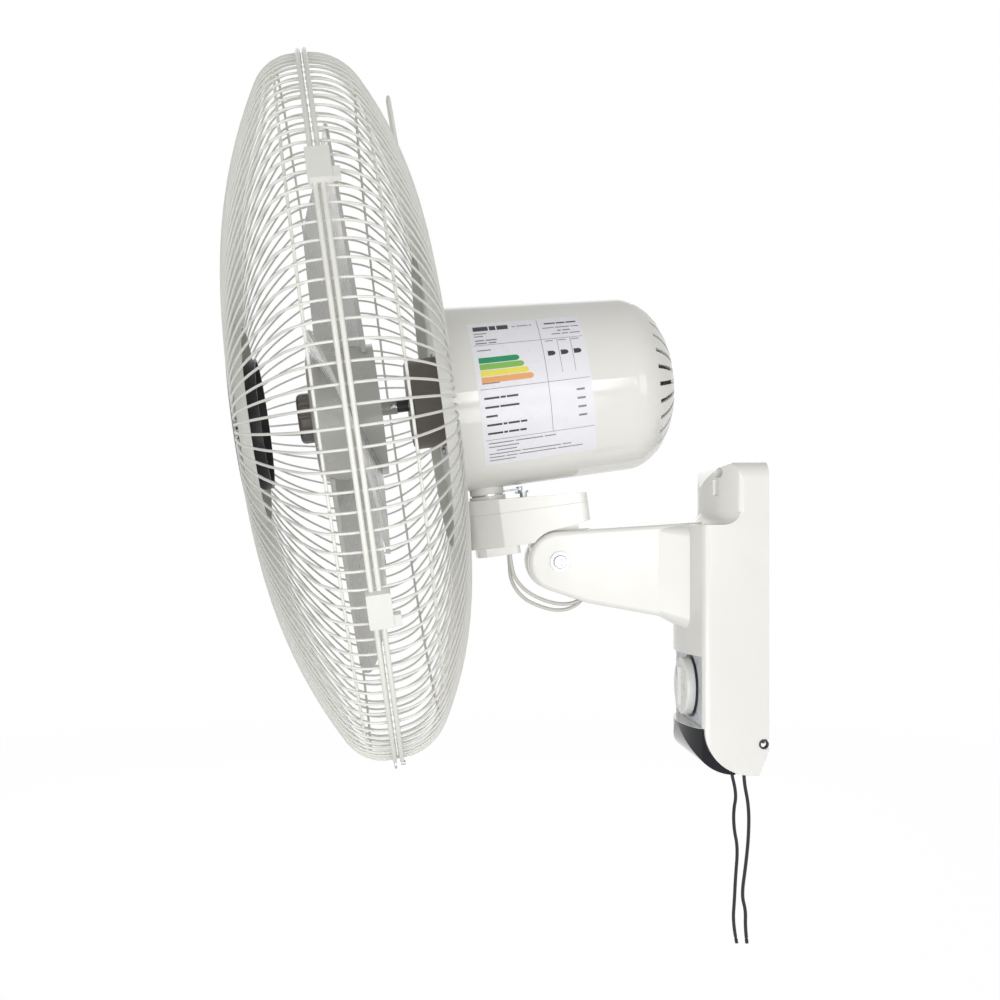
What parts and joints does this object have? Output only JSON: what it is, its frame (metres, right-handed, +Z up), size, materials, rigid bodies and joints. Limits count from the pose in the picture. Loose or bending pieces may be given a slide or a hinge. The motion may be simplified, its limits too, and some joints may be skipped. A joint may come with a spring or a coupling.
{
  "type": "wall mounted fan",
  "caption": "Wall mounted oscillating fan with a wire guard, grey blades, a white motor drum on a tilting arm, a dial and pull cords.",
  "frame": {"origin": "middle of the wall plate's two screw holes, on the wall face", "axes": "+Z up, +Y into the wall, the fan blows towards -Y"},
  "size_m": [0.5707, 0.4382, 0.7358],
  "materials": {
    "white_abs": "moulded ABS, glossy white",
    "cover_white": "moulded ABS motor cover, high gloss white",
    "knob_white": "moulded ABS, white, satin gloss",
    "panel_plastic": "pale bluish printed panel, satin",
    "smoked_plastic": "smoked acrylic strip, polished",
    "clip_white": "moulded nylon, white, satin",
    "plate_black": "pressed sheet steel, black paint",
    "guard_paint": "steel wire, powder coated white",
    "plate_paint": "pressed sheet steel, powder coated white",
    "zinc_steel": "zinc plated steel",
    "polished_steel": "ground steel",
    "bell_paint": "die cast aluminium, dark grey paint",
    "cast_aluminium": "die cast aluminium",
    "core_steel": "stacked steel laminations",
    "copper_wire": "enamelled copper wire",
    "bearing_bronze": "sintered bronze",
    "blade_grey": "moulded AS plastic, pale grey, satin gloss",
    "spinner_grey": "moulded plastic, dark grey",
    "badge_grey": "moulded disc, bare, satin",
    "black_plastic": "moulded plastic, black",
    "cord_black": "braided nylon cord, black",
    "lead_jacket": "PVC insulated leads, pale grey"
  },
  "bodies": {
    "wall_unit": {"wall_plate": "zinc_steel", "base_housing": "white_abs", "case_screws": "zinc_steel", "control_panel": "panel_plastic", "dial_ring": "black_plastic", "smoked_window": "smoked_plastic", "rotary_switch": "black_plastic", "switch_nut": "zinc_steel", "pull_switches": "black_plastic", "cord_eyelets": "black_plastic", "capacitor": "black_plastic", "terminal_block": "clip_white", "mains_gland": "black_plastic", "pivot_bolt": "zinc_steel", "pivot_nut": "zinc_steel", "friction_washers": "polished_steel", "neck_leads": "lead_jacket"},
    "neck": {"neck_frame": "white_abs", "neck_cover": "white_abs", "neck_belly": "white_abs", "swing_post": "polished_steel", "thrust_washer": "polished_steel", "swing_motor": "zinc_steel"},
    "head": {"motor_housing": "cover_white", "front_bell": "bell_paint", "stator": "core_steel", "windings": "copper_wire", "bearings": "bearing_bronze", "rear_bell": "cast_aluminium", "tie_bolts": "zinc_steel", "swing_socket": "clip_white", "keeper_screw": "zinc_steel", "link_pin": "zinc_steel", "rear_guard_wires": "guard_paint", "rear_guard_rim": "guard_paint", "rear_guard_ring": "guard_paint", "rear_guard_plate": "plate_paint", "guard_screws": "zinc_steel", "hanging_loop": "guard_paint", "front_guard_wires": "guard_paint", "front_guard_rim": "guard_paint", "front_guard_ring": "guard_paint", "front_guard_plate": "plate_black", "badge": "badge_grey", "rim_clips": "clip_white", "safety_clip": "zinc_steel"},
    "swing_crank": {"crank": "zinc_steel"},
    "swing_rod": {"swing_link": "zinc_steel"},
    "rotor": {"blade_set": "blade_grey", "spinner": "spinner_grey", "motor_shaft": "polished_steel", "drive_pin": "polished_steel", "shaft_sleeve": "black_plastic", "rotor_core": "core_steel"},
    "speed_dial": {"speed_knob": "knob_white", "switch_shaft": "polished_steel"},
    "speed_pull": {"speed_pull_bead": "black_plastic", "speed_pull_cord": "cord_black"},
    "swing_pull": {"swing_pull_bead": "black_plastic", "swing_pull_cord": "cord_black"}
  },
  "joints": [
    {"name": "tilt", "type": "hinge", "parent": "wall_unit", "child": "neck", "pos_m": [0, -0.167, 0.0455], "axis": [1, 0, 0], "range_deg": [-12, 10], "deforming": ["neck_leads"]},
    {"name": "swing", "type": "hinge", "parent": "neck", "child": "head", "pos_m": [0, -0.22495, 0.10014], "axis": [0, -0.1357, 0.9907], "range_deg": [-40, 40]},
    {"name": "crank_turn", "type": "hinge", "parent": "neck", "child": "swing_crank", "pos_m": [0, -0.19496, 0.10223], "axis": [0, -0.1357, 0.9907], "range_deg": [-45, 45]},
    {"name": "link_turn", "type": "hinge", "parent": "swing_crank", "child": "swing_rod", "pos_m": [-0.022, -0.19537, 0.1052], "axis": [0, -0.1357, 0.9907], "range_deg": [-45, 45]},
    {"name": "spin", "type": "hinge", "parent": "head", "child": "rotor", "pos_m": [0, -0.33733, 0.16751], "axis": [0, 0.9907, 0.1357], "continuous": true},
    {"name": "speed_turn", "type": "hinge", "parent": "wall_unit", "child": "speed_dial", "pos_m": [0, -0.06, -0.06], "axis": [0, 1, 0], "range_deg": [0, 135]},
    {"name": "speed_cord_pull", "type": "slide", "parent": "wall_unit", "child": "speed_pull", "axis": [0, 0, -1], "range_m": [0, 0.012], "stiffness_N_per_m": 400, "springref_m": -0.002},
    {"name": "swing_cord_pull", "type": "slide", "parent": "wall_unit", "child": "swing_pull", "axis": [0, 0, -1], "range_m": [0, 0.012], "stiffness_N_per_m": 400, "springref_m": -0.002}
  ],
  "couplings": [
    {"joint": "crank_turn", "follows": "swing", "ratio": 1.1214},
    {"joint": "link_turn", "follows": "swing", "ratio": -1.1214}
  ]
}
